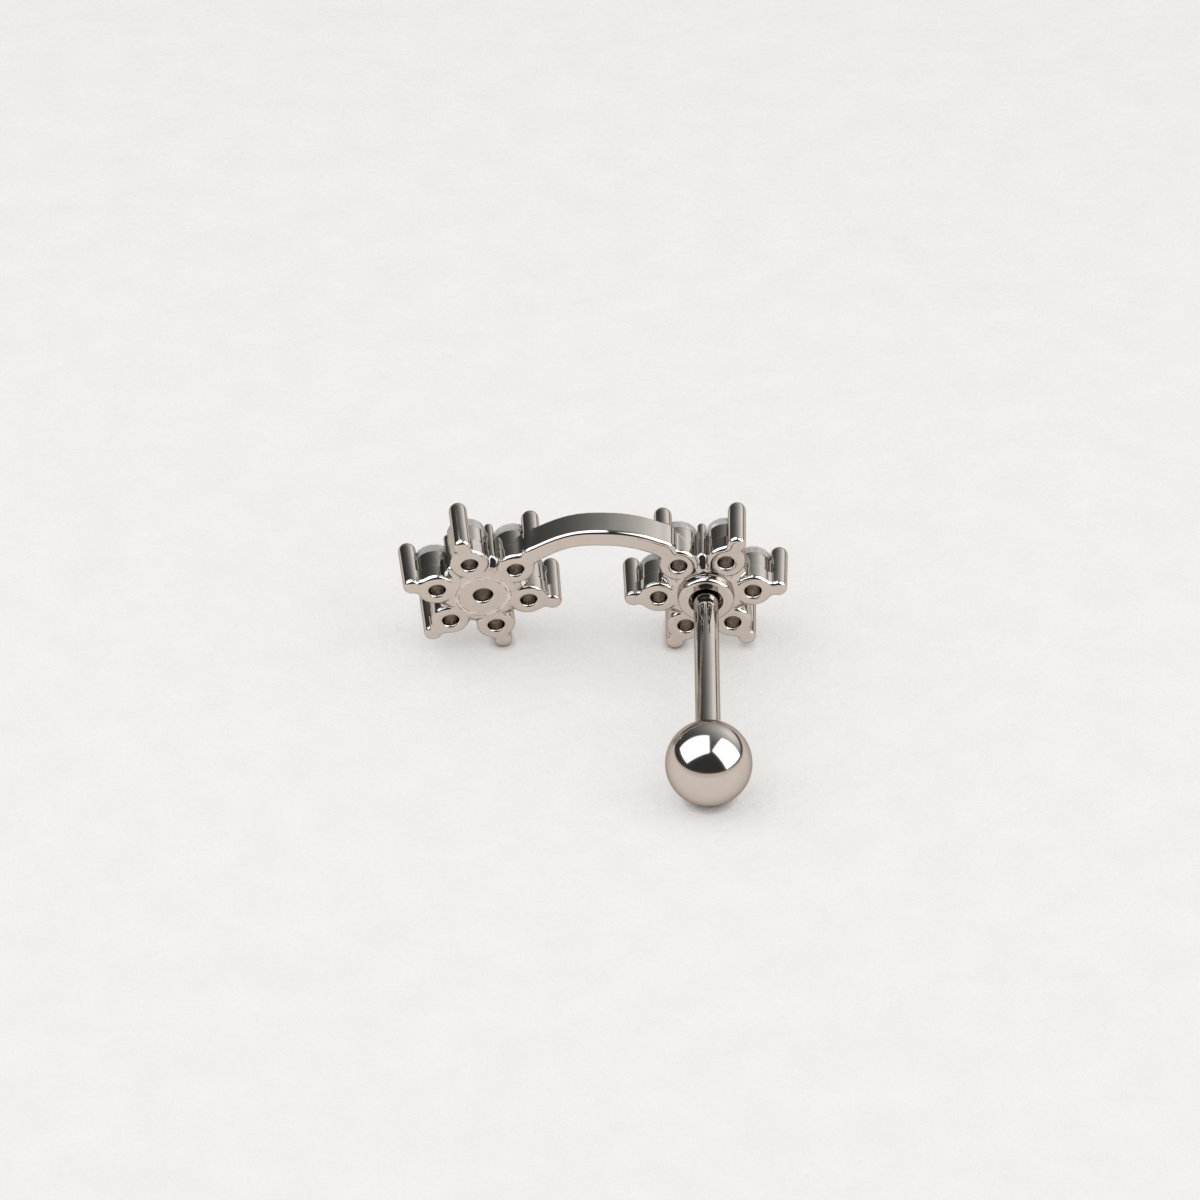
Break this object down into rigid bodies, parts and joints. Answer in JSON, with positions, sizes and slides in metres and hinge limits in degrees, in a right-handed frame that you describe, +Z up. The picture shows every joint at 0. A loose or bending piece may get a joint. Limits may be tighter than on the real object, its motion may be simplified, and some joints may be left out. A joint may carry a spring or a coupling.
{
  "type": "piercing stud",
  "caption": "Two stone-set flowers joined by an arched bar, with a straight post behind one flower and a screw-on ball at its end.",
  "frame": {"origin": "on the surface that the jewel lies on, under the middle of its bounding box", "axes": "+X across the two flowers, from the plain flower to the one with the post; +Y from the ball towards the flowers' stone side; +Z up from the surface. The post slopes down to its ball by 7.3 degrees in the YZ plane."},
  "size_m": [0.0182, 0.0166, 0.0077],
  "materials": {
    "setting_metal": "mirror-polished surgical steel, cast and soldered, edges rounded by polishing",
    "ball_metal": "mirror-polished surgical steel ball",
    "stone": "clear cubic zirconia, round brilliant cut"
  },
  "bodies": {
    "jewel": {"setting": "setting_metal", "stone_right_centre": "stone", "stone_right_1": "stone", "stone_right_2": "stone", "stone_right_3": "stone", "stone_right_4": "stone", "stone_right_5": "stone", "stone_right_6": "stone", "stone_left_centre": "stone", "stone_left_1": "stone", "stone_left_2": "stone", "stone_left_3": "stone", "stone_left_4": "stone", "stone_left_5": "stone", "stone_left_6": "stone"},
    "ball": {"screw_ball": "ball_metal"}
  },
  "joints": [
    {"name": "ball_unscrew", "type": "slide", "parent": "jewel", "child": "ball", "axis": [0, -0.9919, -0.1272], "range_m": [0, 0.006]}
  ]
}
